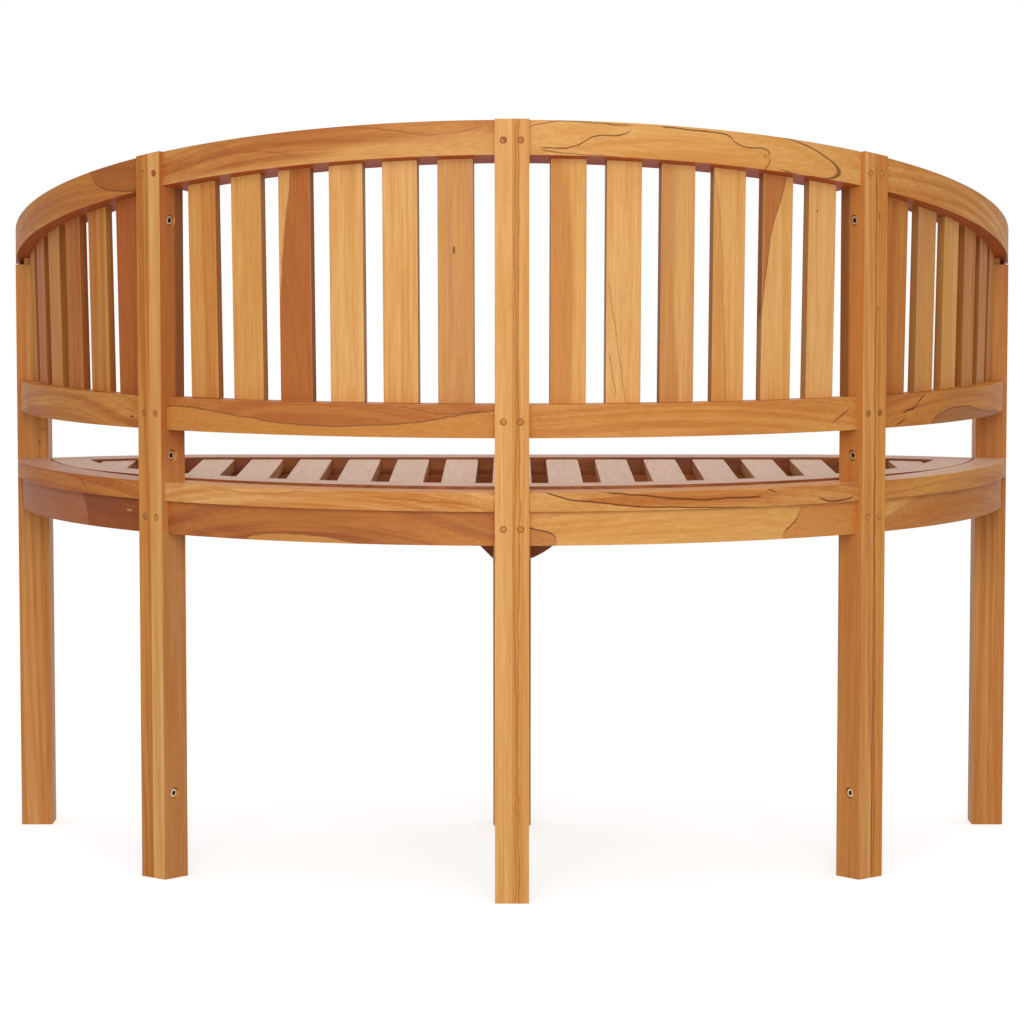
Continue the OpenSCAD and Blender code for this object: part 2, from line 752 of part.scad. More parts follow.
placed() deck_front();  // deck_front_right
placed() side(-1) deck_curve();  // deck_curve_left
placed() deck_curve();  // deck_curve_right
placed() side(-1) deck_mid();  // deck_mid_left
placed() deck_mid();  // deck_mid_right
placed() side(-1) deck_slats();  // deck_slats_left
placed() deck_slats();  // deck_slats_right
placed() middle_bearer();  // bearer_middle
placed() side(-1) side_bearer();  // bearer_left
placed() side_bearer();  // bearer_right
placed() side(-1) cleat();  // cleat_left
placed() cleat();  // cleat_right
placed() side(-1) knee_bracket(knee_bow);  // knee_left
placed() knee_bracket(0);  // knee_right
placed() all_pegs();  // pegs
placed() all_dowels();  // dowels
placed() all_bolts();  // bolts
placed() all_nuts();  // nuts
placed() all_screws();  // deck_screws
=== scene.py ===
"""Dresses the frame of a curved garden bench in oiled teak and sets it in a plain studio."""

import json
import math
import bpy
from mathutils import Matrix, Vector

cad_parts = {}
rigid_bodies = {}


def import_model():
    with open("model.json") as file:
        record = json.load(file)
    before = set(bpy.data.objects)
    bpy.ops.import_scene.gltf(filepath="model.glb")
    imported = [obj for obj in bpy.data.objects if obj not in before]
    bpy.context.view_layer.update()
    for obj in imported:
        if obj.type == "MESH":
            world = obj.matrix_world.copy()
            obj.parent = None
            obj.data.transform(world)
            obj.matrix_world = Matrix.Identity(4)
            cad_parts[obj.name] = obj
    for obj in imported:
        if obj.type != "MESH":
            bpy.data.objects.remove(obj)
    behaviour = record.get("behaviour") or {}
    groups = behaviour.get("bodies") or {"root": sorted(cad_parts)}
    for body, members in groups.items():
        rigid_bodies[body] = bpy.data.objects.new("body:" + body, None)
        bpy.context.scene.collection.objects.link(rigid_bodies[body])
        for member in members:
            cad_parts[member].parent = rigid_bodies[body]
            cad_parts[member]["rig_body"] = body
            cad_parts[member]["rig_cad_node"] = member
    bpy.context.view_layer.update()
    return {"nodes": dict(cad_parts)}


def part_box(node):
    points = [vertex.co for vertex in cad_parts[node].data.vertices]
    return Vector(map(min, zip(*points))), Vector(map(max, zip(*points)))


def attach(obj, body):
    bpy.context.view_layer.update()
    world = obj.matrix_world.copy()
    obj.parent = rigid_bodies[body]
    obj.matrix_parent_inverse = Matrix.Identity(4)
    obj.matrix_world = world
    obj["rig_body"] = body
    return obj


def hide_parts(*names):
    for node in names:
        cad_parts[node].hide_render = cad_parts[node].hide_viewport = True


bl_info = {
    "name": "Curved garden bench",
    "version": (1, 0, 0),
    "blender": (4, 5, 0),
    "location": "3D View > Sidebar > Bench",
    "description": "Gives each board of the bench eased edges and its own teak figure",
    "category": "Object",
}

import bpy
from mathutils import Vector

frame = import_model()

UP = Vector((0.0, 0.0, 1.0))
SIDEWAYS = Vector((1.0, 0.0, 0.0))
BACKWARDS = Vector((0.0, 1.0, 0.0))

# Plan of the bench: the centre of its curve, and angles round it
CENTRE = Vector((0.0, -0.3255, 0.0))
PANEL = math.radians(41.4)
OUTER_MIDDLE = math.radians(60.7)
DECK_MIDDLE = math.radians(38.0)
CLEAT_MIDDLE = math.radians(64.0)
SLAT_STEP = PANEL / 7

# How far from that centre the boards' back faces lie, and the middles of the back slats
POST_FACE = 0.608
TOP_RAIL_FACE = 0.603
LOW_RAIL_FACE = 0.6
BOARD_FACE = 0.604
APRON_FACE = 0.599
SLAT_RADIUS = 0.583

# Heights and sections
BACK_HEIGHT = 0.845
TOP_SLOPE = math.radians(13.4)
TOP_RAIL_THICKNESS = 0.036
SLAT_MIDDLE = 0.66
BOLT_HEAD = 0.01

# Mesh work: the reach of a weld, how near a face lies to the end of its piece, and how far
# two faces turn over an edge that counts as flat, as smooth and as sharp
WELD = 0.00002
NEAR = 0.0001
FLAT_TURN = math.radians(0.4)
SMOOTH_TURN = math.radians(32.0)
SHARP_TURN = math.radians(40.0)

# Waves of the teak's noise in each metre: along the grain, across it and through it
BEND = (3.0, 16.0, 16.0)
WAVER = (28.0, 60.0, 60.0)
STREAKS = (4.0, 95.0, 95.0)
CLOUDS = (2.6, 14.0, 14.0)
FIBRES = (12.0, 420.0, 420.0)
THREADS = (30.0, 1300.0, 1300.0)
PORES = (120.0, 2600.0, 2600.0)

# Growth rings: their waves in each metre outwards and along the grain, and their sway in metres
RINGS = 150.0
RING_DRIFT = 1.5
RING_SWAY = 0.012

# Marks are placed in millimetres, and waver by half of this to each side
MILLIMETRES = 1000.0
MARK_WAVER = 5.0


def linear(code):
    """Turns a written colour such as d6965a into linear red, green and blue."""
    parts = [int(code[i : i + 2], 16) / 255 for i in (0, 2, 4)]
    return tuple(c / 12.92 if c <= 0.04045 else ((c + 0.055) / 1.055) ** 2.4 for c in parts)


TONES = {
    "pale": "e2ac6c",
    "straw": "d9a05a",
    "honey": "d09148",
    "golden": "c9853c",
    "orange": "c17836",
    "tan": "c48a54",
    "amber": "b56c32",
    "reddish": "ac602c",
    "brick": "ac5628",
    "ember": "b04c1e",
    "rust": "9a5228",
    "smoky": "98603a",
    "dusky": "ae6a46",
    "mauve": "88482c",
    "umber": "64341a",
    "pink": "d8b094",
    "rose": "c4967c",
}

# Steel, in linear red, green, blue and full cover
BRIGHT_ZINC = (0.86, 0.7, 0.46, 1.0)
WORN_ZINC = (0.66, 0.5, 0.3, 1.0)
# Near black for the bottom of a bolt's socket: painted shade in the recess
SOCKET_SHADE = (0.05, 0.03, 0.02, 1.0)

# Gloss of the oil where LOOKS names none: on pieces with outer in their names, and on all others
OUTER_GLOSS = 0.12
INNER_GLOSS = 0.3


def paint(tone):
    """A tone of the palette as red, green, blue and full cover."""
    return (*linear(TONES[tone]), 1.0)


# Boards


def radial(angle):
    return Vector((math.sin(angle), math.cos(angle), 0.0))


def tangent(angle):
    return Vector((math.cos(angle), -math.sin(angle), 0.0))


def hand(node):
    """1 on the bench's right, -1 on its left, seen from the front."""
    return -1 if node.endswith("_left") else 1


def bay_middle(node):
    """Angle of the middle of the bay that a curved board spans."""
    return hand(node) * (PANEL / 2 if "inner" in node else OUTER_MIDDLE)


def nodes_named(start):
    return [node for node in frame["nodes"] if node.startswith(start)]


def middle(node):
    low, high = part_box(node)
    return (low + high) / 2


def deselect():
    bpy.ops.object.select_all(action="DESELECT")


def activate(piece):
    deselect()
    piece.select_set(True)
    bpy.context.view_layer.objects.active = piece


def apply_modifier(piece, kind, **settings):
    modifier = piece.modifiers.new(kind.title(), kind)
    for key, value in settings.items():
        setattr(modifier, key, value)
    activate(piece)
    bpy.ops.object.modifier_apply(modifier=modifier.name)


def soften(piece, width, segments=2):
    """Eases the sharp edges of a piece, stores where the eased edges lie for their rim tone, by default a
    painted highlight, and evens its shading.
    """
    # The bevel's new faces take the second material slot, which tells them from the old ones
    piece.data.materials.clear()
    for _ in range(2):
        piece.data.materials.append(None)
    apply_modifier(
        piece, "BEVEL", width=width, segments=segments, limit_method="ANGLE",
        angle_limit=SHARP_TURN, use_clamp_overlap=True, material=1,
    )
    rubbed = [1.0] * len(piece.data.vertices)
    for face in piece.data.polygons:
        if face.material_index == 0:
            for index in face.vertices:
                rubbed[index] = 0.0
        face.material_index = 0
    layer = piece.data.attributes.new("rubbed", "FLOAT", "POINT")
    layer.data.foreach_set("value", rubbed)
    piece.data.materials.clear()
    activate(piece)
    bpy.ops.object.shade_smooth_by_angle(angle=SMOOTH_TURN)
    apply_modifier(piece, "WEIGHTED_NORMAL", keep_sharp=True)


def clean_copy(node):
    """Copies a frame piece and welds its loose triangles into whole faces."""
    activate(frame["nodes"][node])
    bpy.ops.object.duplicate()
    piece = bpy.context.active_object
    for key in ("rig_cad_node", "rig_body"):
        if key in piece:
            del piece[key]
    bpy.ops.mesh.customdata_custom_splitnormals_clear()
    bpy.ops.object.mode_set(mode="EDIT")
    bpy.ops.mesh.select_all(action="SELECT")
    bpy.ops.mesh.remove_doubles(threshold=WELD)
    bpy.ops.mesh.dissolve_limited(angle_limit=FLAT_TURN)
    bpy.ops.object.mode_set(mode="OBJECT")
    return piece


def separate(piece, order):
    """Splits a group of boards into single boards, sorted by where they lie."""
    activate(piece)
    bpy.ops.object.mode_set(mode="EDIT")
    bpy.ops.mesh.select_all(action="SELECT")
    bpy.ops.mesh.separate(type="LOOSE")
    bpy.ops.object.mode_set(mode="OBJECT")
    boards = list(bpy.context.selected_objects)

    def place(board):
        total = Vector((0.0, 0.0, 0.0))
        for corner in board.bound_box:
            total += Vector(corner) / 8
        return order(total)

    return sorted(boards, key=place)


def pick_end_faces(piece, outward):
    """Enters edit mode with only the faces at one end of a piece selected."""
    activate(piece)
    bpy.ops.object.mode_set(mode="EDIT")
    bpy.ops.mesh.select_mode(type="FACE")
    bpy.ops.mesh.select_all(action="DESELECT")
    bpy.ops.object.mode_set(mode="OBJECT")
    far = max(outward.dot(vertex.co) for vertex in piece.data.vertices)
    for face in piece.data.polygons:
        face.select = outward.dot(face.center) > far - NEAR and outward.dot(face.normal) > 0.99
    bpy.ops.object.mode_set(mode="EDIT")


def lay_grain(piece, origin, along, across):
    """Stores each point's place in its board: along the grain, across it and through it."""
    through = along.cross(across)
    layer = piece.data.attributes.new("grain", "FLOAT_VECTOR", "POINT")
    values = []
    for vertex in piece.data.vertices:
        step = vertex.co - origin
        values += [along.dot(step), across.dot(step), through.dot(step)]
    layer.data.foreach_set("vector", values)


def finish_board(piece, name, node, origin, along, across, ease):
    soften(piece, ease)
    lay_grain(piece, origin, along.normalized(), across.normalized())
    piece.name = name
    piece.data.name = name
    piece.data.materials.append(teak(name))
    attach(piece, "root")
    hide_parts(node)
    return piece


def dress_board(node, along, across, ease, origin=None):
    return finish_board(
        clean_copy(node), "dressed_" + node, node, origin or middle(node), along, across, ease
    )


def dress_curved(node, radius, ease):
    """A board sawn to the curve: its grain runs straight along the middle of its bay."""
    angle = bay_middle(node)
    origin = CENTRE + radial(angle) * radius + UP * middle(node).z
    dress_board(node, tangent(angle), UP, ease, origin)


# Node trees


def put(tree, kind, inputs=None, **settings):
    """Adds a node, sets it, and links or fills its inputs."""
    node = tree.nodes.new(kind)
    for key, value in settings.items():
        setattr(node, key, value)
    for key, value in (inputs or {}).items():
        if isinstance(value, bpy.types.NodeSocket):
            tree.links.new(value, node.inputs[key])
        else:
            node.inputs[key].default_value = value
    return node


def maths(tree, operation, a, b=0.0, c=0.0, clamp=False):
    return put(tree, "ShaderNodeMath", {0: a, 1: b, 2: c}, operation=operation, use_clamp=clamp).outputs[0]


def stretch(tree, vector, factors):
    return put(tree, "ShaderNodeVectorMath", {0: vector, 1: factors}, operation="MULTIPLY").outputs[0]


def noise(tree, vector, detail=2.0, rough=0.5):
    return put(
        tree, "ShaderNodeTexNoise",
        {"Vector": vector, "Scale": 1.0, "Detail": detail, "Roughness": rough},
    ).outputs["Fac"]


def spread(tree, value, low, high, to_low=0.0, to_high=1.0):
    return put(
        tree, "ShaderNodeMapRange",
        {"Value": value, "From Min": low, "From Max": high, "To Min": to_low, "To Max": to_high},
        interpolation_type="SMOOTHSTEP",
    ).outputs["Result"]


def blend(tree, factor, a, b, kind="MIX"):
    node = put(tree, "ShaderNodeMix", {"Factor": factor}, data_type="RGBA", blend_type=kind)
    for socket, value in ((node.inputs[6], a), (node.inputs[7], b)):
        if isinstance(value, bpy.types.NodeSocket):
            tree.links.new(value, socket)
        else:
            socket.default_value = value
    return node.outputs[2]


def new_group(name, inputs, outputs):
    tree = bpy.data.node_groups.new(name, "ShaderNodeTree")
    for label, kind in inputs:
        tree.interface.new_socket(label, in_out="INPUT", socket_type="NodeSocket" + kind)
    for label, kind in outputs:
        tree.interface.new_socket(label, in_out="OUTPUT", socket_type="NodeSocket" + kind)
    return tree, tree.nodes.new("NodeGroupInput"), tree.nodes.new("NodeGroupOutput")


def teak_figure():
    """Growth bands, fibres and pores of oiled teak, on a board's own measure."""
    if "teak_figure" in bpy.data.node_groups:
        return bpy.data.node_groups["teak_figure"]
    tree, given, made = new_group(
        "teak_figure",
        [("Grain", "Vector"), ("Seed", "Vector"), ("Heart", "Vector"),
         ("Light", "Color"), ("Dark", "Color"), ("Bands", "Float")],
        [("Color", "Color"), ("Fibre", "Color"), ("Roughness", "Float"), ("Height", "Float"),
         ("Along", "Float"), ("Across", "Float"), ("Through", "Float"), ("Edge", "Float")],
    )
    grain = given.outputs["Grain"]
    seed = given.outputs["Seed"]
    place = put(tree, "ShaderNodeVectorMath", {0: grain, 1: seed}, operation="ADD").outputs[0]
    bend = noise(tree, stretch(tree, place, BEND), 1.0)
    waver = noise(tree, stretch(tree, place, WAVER), 2.0)
    parts = put(tree, "ShaderNodeSeparateXYZ", {0: grain})
    heart = put(tree, "ShaderNodeSeparateXYZ", {0: given.outputs["Heart"]})

    # Growth bands lie round the heart, which drifts across the board
    drift = maths(tree, "MULTIPLY", parts.outputs[0], heart.outputs[0])
    across = maths(tree, "SUBTRACT", maths(tree, "SUBTRACT", parts.outputs[1], heart.outputs[1]), drift)
    through = maths(tree, "SUBTRACT", parts.outputs[2], heart.outputs[2])
    square = maths(tree, "MULTIPLY", through, through)
    reach = maths(tree, "SQRT", maths(tree, "MULTIPLY_ADD", across, across, square))
    ring = maths(tree, "MULTIPLY_ADD", bend, RING_SWAY, reach)
    rings = put(tree, "ShaderNodeCombineXYZ", {
        0: maths(tree, "MULTIPLY", ring, RINGS),
        1: maths(tree, "MULTIPLY", parts.outputs[0], RING_DRIFT),
    })
    seeded = put(tree, "ShaderNodeVectorMath", {0: rings.outputs[0], 1: seed}, operation="ADD")
    bands = noise(tree, seeded.outputs[0], 3.0, 0.55)
    streaks = noise(tree, stretch(tree, place, STREAKS), 2.0)
    clouds = noise(tree, stretch(tree, place, CLOUDS), 2.0)
    tone = maths(tree, "MULTIPLY", spread(tree, bands, 0.41, 0.6), given.outputs["Bands"])
    tone = maths(tree, "MULTIPLY_ADD", spread(tree, clouds, 0.32, 0.68), 0.4, tone)
    tone = maths(tree, "MULTIPLY_ADD", spread(tree, streaks, 0.32, 0.68), 0.25, tone, clamp=True)
    color = blend(tree, tone, given.outputs["Light"], given.outputs["Dark"])

    # Fibres and pores darken every tone alike
    fibres = noise(tree, stretch(tree, place, FIBRES), 3.0, 0.6)
    threads = noise(tree, stretch(tree, place, THREADS), 2.0)
    pores = noise(tree, stretch(tree, place, PORES), 1.0)
    spots = spread(tree, pores, 0.62, 0.74)
    shade = maths(tree, "MULTIPLY_ADD", spread(tree, fibres, 0.3, 0.7), -0.1, 1.08)
    shade = maths(tree, "MULTIPLY_ADD", spread(tree, threads, 0.3, 0.7), -0.05, shade)
    shade = maths(tree, "MULTIPLY_ADD", spots, -0.14, shade)
    deep = maths(tree, "MULTIPLY", shade, shade)
    deeper = maths(tree, "MULTIPLY", deep, shade)
    fibre = put(tree, "ShaderNodeCombineColor", {0: shade, 1: deep, 2: deeper})
    pits = maths(tree, "MULTIPLY", spots, 0.5)
    height = maths(tree, "SUBTRACT", maths(tree, "MULTIPLY", fibres, 0.6), pits)
    rough = maths(tree, "MULTIPLY_ADD", fibres, 0.16, 0.42)

    # Places for drawn marks, with the slight waver of a real growth line, and for the painted shade on side
    # faces
    shift = maths(tree, "MULTIPLY", maths(tree, "SUBTRACT", waver, 0.5), MARK_WAVER)
    straight = maths(tree, "MULTIPLY", parts.outputs[1], MILLIMETRES)
    for label, value in (
        ("Color", color),
        ("Fibre", fibre.outputs[0]),
        ("Roughness", rough),
        ("Height", height),
        ("Along", maths(tree, "MULTIPLY", parts.outputs[0], MILLIMETRES)),
        ("Across", maths(tree, "ADD", straight, shift)),
        ("Through", maths(tree, "MULTIPLY", parts.outputs[2], MILLIMETRES)),
        ("Edge", maths(tree, "ABSOLUTE", straight)),
    ):
        tree.links.new(value, made.inputs[label])
    return tree


def level(tree, along, points):
    """Place across the board of a line drawn through points, which lie in order along the grain."""
    first, last = points[0][0], points[-1][0]
    room = 4.0
    low = min(v for u, v in points) - room
    high = max(v for u, v in points) + room
    place = maths(tree, "DIVIDE", maths(tree, "SUBTRACT", along, first), last - first)
    node = put(tree, "ShaderNodeFloatCurve", {"Value": place})
    curve = node.mapping.curves[0]
    for i, (u, v) in enumerate(points):
        share = ((u - first) / (last - first), (v - low) / (high - low))
        if i < 2:
            curve.points[i].location = share
        else:
            curve.points.new(*share)
    node.mapping.update()
    return maths(tree, "MULTIPLY_ADD", node.outputs[0], high - low, low)


def stroke(tree, gap, width, depth):
    """Cover of a pen of some width, at a distance from the middle of its line."""
    return spread(tree, gap, width * 0.4, width, depth, 0.0)


def draw_line(tree, place, color, points, width=1.1, tone="umber", depth=0.8, upright=False):
    """A thin growth line through points, fading out at both ends; an upright one runs across the board."""
    along, across = reversed(place) if upright else place
    gap = maths(tree, "ABSOLUTE", maths(tree, "SUBTRACT", across, level(tree, along, points)))
    mask = stroke(tree, gap, width, depth)
    fade = 1.5 if upright else 8.0
    for edge, step in ((points[0][0], fade), (points[-1][0], -fade)):
        mask = maths(tree, "MULTIPLY", mask, spread(tree, along, edge, edge + step))
    return blend(tree, mask, color, paint(tone))


def draw_split(tree, place, color, points, tone, side=1.0, soft=1.5, share=0.8, line=0.0):
    """Another tone on one side of a line through points, with a darker line on the border itself."""
    along, across = place
    gap = maths(tree, "MULTIPLY", maths(tree, "SUBTRACT", across, level(tree, along, points)), side)
    color = blend(tree, spread(tree, gap, -soft, soft, 0.0, share), color, paint(tone))
    if line:
        border = spread(tree, maths(tree, "ABSOLUTE", gap), 0.4, 1.2, line, 0.0)
        color = blend(tree, border, color, paint("umber"))
    return color


def oval(tree, place, centre, size, tilt=0.0):
    """Distance from the middle of an oval, counted as 1 on its edge."""
    along = maths(tree, "SUBTRACT", place[0], centre[0])
    level_across = maths(tree, "SUBTRACT", place[1], centre[1])
    across = maths(tree, "MULTIPLY_ADD", along, -tilt, level_across)
    u = maths(tree, "DIVIDE", along, size[0])
    v = maths(tree, "DIVIDE", across, size[1])
    return maths(tree, "SQRT", maths(tree, "MULTIPLY_ADD", u, u, maths(tree, "MULTIPLY", v, v)))


def draw_loop(tree, place, color, centre, size, tilt=0.0, tone="umber", depth=0.8, width=1.0, ends=None):
    """A closed growth line, long along the grain; ends keep only a stretch of it."""
    reach = oval(tree, place, centre, size, tilt)
    gap = maths(tree, "MULTIPLY", maths(tree, "ABSOLUTE", maths(tree, "SUBTRACT", reach, 1.0)), size[1])
    mask = stroke(tree, gap, width, depth)
    if ends:
        mask = maths(tree, "MULTIPLY", mask, spread(tree, place[0], *ends))
    return blend(tree, mask, color, paint(tone))


def draw_spot(tree, place, color, centre, size, tone="umber", depth=0.85):
    """A small knot, crack or filled pin hole."""
    reach = oval(tree, place, centre, size)
    return blend(tree, spread(tree, reach, 0.6, 1.2, depth, 0.0), color, paint(tone))


def facing(tree, direction, share):
    """Share on the faces that look in a direction, and 0 on the others."""
    normal = put(tree, "ShaderNodeTexCoord").outputs["Normal"]
    turned = put(tree, "ShaderNodeVectorMath", {0: normal, 1: direction}, operation="DOT_PRODUCT")
    return spread(tree, turned.outputs["Value"], 0.6, 0.95, 0.0, share)


def tint_flank(tree, figure, color, board, tone):
    """Paints shade on the side of a post that looks into the middle bay, darker in front and above the low
    rail.
    """
    height = figure.outputs["Along"]
    above_rail = spread(tree, height, 495.0, 520.0)
    # Painted shadow: umber at the front of the side face, above the low rail
    in_front = spread(tree, figure.outputs["Through"], -7.0, -2.0, 0.75, 0.0)
    dark = maths(tree, "MULTIPLY", in_front, above_rail)
    flank = blend(tree, dark, paint(tone), paint("umber"))
    mask = facing(tree, tangent(hand(board) * PANEL) * -hand(board), 1.0)
    share = spread(tree, height, 440.0, 500.0, 0.6, 0.9)
    return blend(tree, maths(tree, "MULTIPLY", mask, share), color, flank)


def shade_slat_sides(tree, figure, color):
    """Darkens the two narrow sides of a back slat, which stand in their neighbours' shade."""
    sides = spread(tree, figure.outputs["Edge"], 18.6, 19.4, 0.0, 0.55)
    return blend(tree, sides, color, paint("umber"))


def teak(name):
    """The material of one board: its own two tones, heart and drawn marks, with painted sheen and painted
    shade on some faces and a painted highlight on its eased edges.
    """
    board = name.replace("dressed_", "")
    wood = LOOKS.get(board) or LOOKS.get(board.rstrip("_0123456789")) or LOOKS["plain"]
    seed = sum(ord(letter) * (i + 3) for i, letter in enumerate(name)) % 997
    light, dark = wood["tones"]
    material = bpy.data.materials.new("teak_" + board)
    material.use_nodes = True
    tree = material.node_tree
    shader = tree.nodes["Principled BSDF"]
    grain = put(tree, "ShaderNodeAttribute", attribute_name="grain").outputs["Vector"]
    figure = put(tree, "ShaderNodeGroup", node_tree=teak_figure())
    tree.links.new(grain, figure.inputs["Grain"])
    figure.inputs["Seed"].default_value = (seed * 0.37, seed * 0.113, seed * 0.071)
    figure.inputs["Heart"].default_value = wood.get("heart", (0.02, 0.06 + (seed % 7) * 0.02, 0.09))
    figure.inputs["Light"].default_value = paint(light)
    figure.inputs["Dark"].default_value = paint(dark)
    figure.inputs["Bands"].default_value = wood["bands"]
    color = figure.outputs["Color"]
    place = (figure.outputs["Along"], figure.outputs["Across"])
    for draw, settings in wood["marks"]:
        color = draw(tree, place, color, **settings)
    # Painted sheen: faces that look up take the top tone, a pale pink on the deck and the outer boards
    if "top" in wood:
        color = blend(tree, facing(tree, UP, 0.85), color, paint(wood["top"]))
    # Painted shade: faces that look down take the darker under tone
    if "under" in wood:
        color = blend(tree, facing(tree, -UP, 0.95), color, paint(wood["under"]))
    if board.startswith("back_slat"):
        color = shade_slat_sides(tree, figure, color)
    # Painted shade on the side of a post that looks into the middle bay
    if "flank" in wood:
        color = tint_flank(tree, figure, color, board, wood["flank"])
    # Eased edges take the rim tone, by default a pale painted highlight
    rim, share = wood.get("rim", ("pale", 0.5))
    rubbed = put(tree, "ShaderNodeAttribute", attribute_name="rubbed").outputs["Fac"]
    color = blend(tree, maths(tree, "MULTIPLY", rubbed, share), color, paint(rim))
    color = blend(tree, 1.0, color, figure.outputs["Fibre"], "MULTIPLY")
    relief = {"Height": figure.outputs["Height"], "Strength": 0.25, "Distance": 0.0004}
    bump = put(tree, "ShaderNodeBump", relief)
    tree.links.new(color, shader.inputs["Base Color"])
    tree.links.new(figure.outputs["Roughness"], shader.inputs["Roughness"])
    tree.links.new(bump.outputs["Normal"], shader.inputs["Normal"])
    shader.inputs["IOR"].default_value = 1.42
    gloss = wood.get("gloss", OUTER_GLOSS if "_outer_" in board else INNER_GLOSS)
    shader.inputs["Specular IOR Level"].default_value = gloss
    return material


def steel():
    """Yellow zinc on steel, with painted shade down in a socket."""
    if "zinc_steel" in bpy.data.materials:
        return bpy.data.materials["zinc_steel"]
    material = bpy.data.materials.new("zinc_steel")
    material.use_nodes = True
    tree = material.node_tree
    shader = tree.nodes["Principled BSDF"]
    place = put(tree, "ShaderNodeTexCoord").outputs["Object"]
    wear = noise(tree, stretch(tree, place, (420.0, 420.0, 420.0)), 3.0)
    color = blend(tree, spread(tree, wear, 0.35, 0.65), BRIGHT_ZINC, WORN_ZINC)
    # Painted shade: the bottom of the socket is darkened to near black
    sunk = put(tree, "ShaderNodeAttribute", attribute_name="sunk").outputs["Fac"]
    color = blend(tree, sunk, color, SOCKET_SHADE)
    tree.links.new(color, shader.inputs["Base Color"])
    tree.links.new(maths(tree, "MULTIPLY_ADD", wear, 0.3, 0.2), shader.inputs["Roughness"])
    shader.inputs["Metallic"].default_value = 1.0
    return material


def line(points, **settings):
    return draw_line, {"points": points, **settings}


def split(points, tone, **settings):
    return draw_split, {"points": points, "tone": tone, **settings}


def loop(centre, size, **settings):
    return draw_loop, {"centre": centre, "size": size, **settings}


def spot(centre, size, **settings):
    return draw_spot, {"centre": centre, "size": size, **settings}


def look(light, dark, *marks, bands=0.5, **more):
    """Tones, bands and marks of one board, with marks in millimetres along the grain and across it.

    More can name the tones of a board's top (a painted sheen on the deck and the outer boards), under side
    and flank (painted shade), its rim's tone and share (by default a painted highlight on the eased edges),
    its gloss, and the heart that its growth bands lie round.
    """
    return {"tones": (light, dark), "bands": bands, "marks": marks, **more}


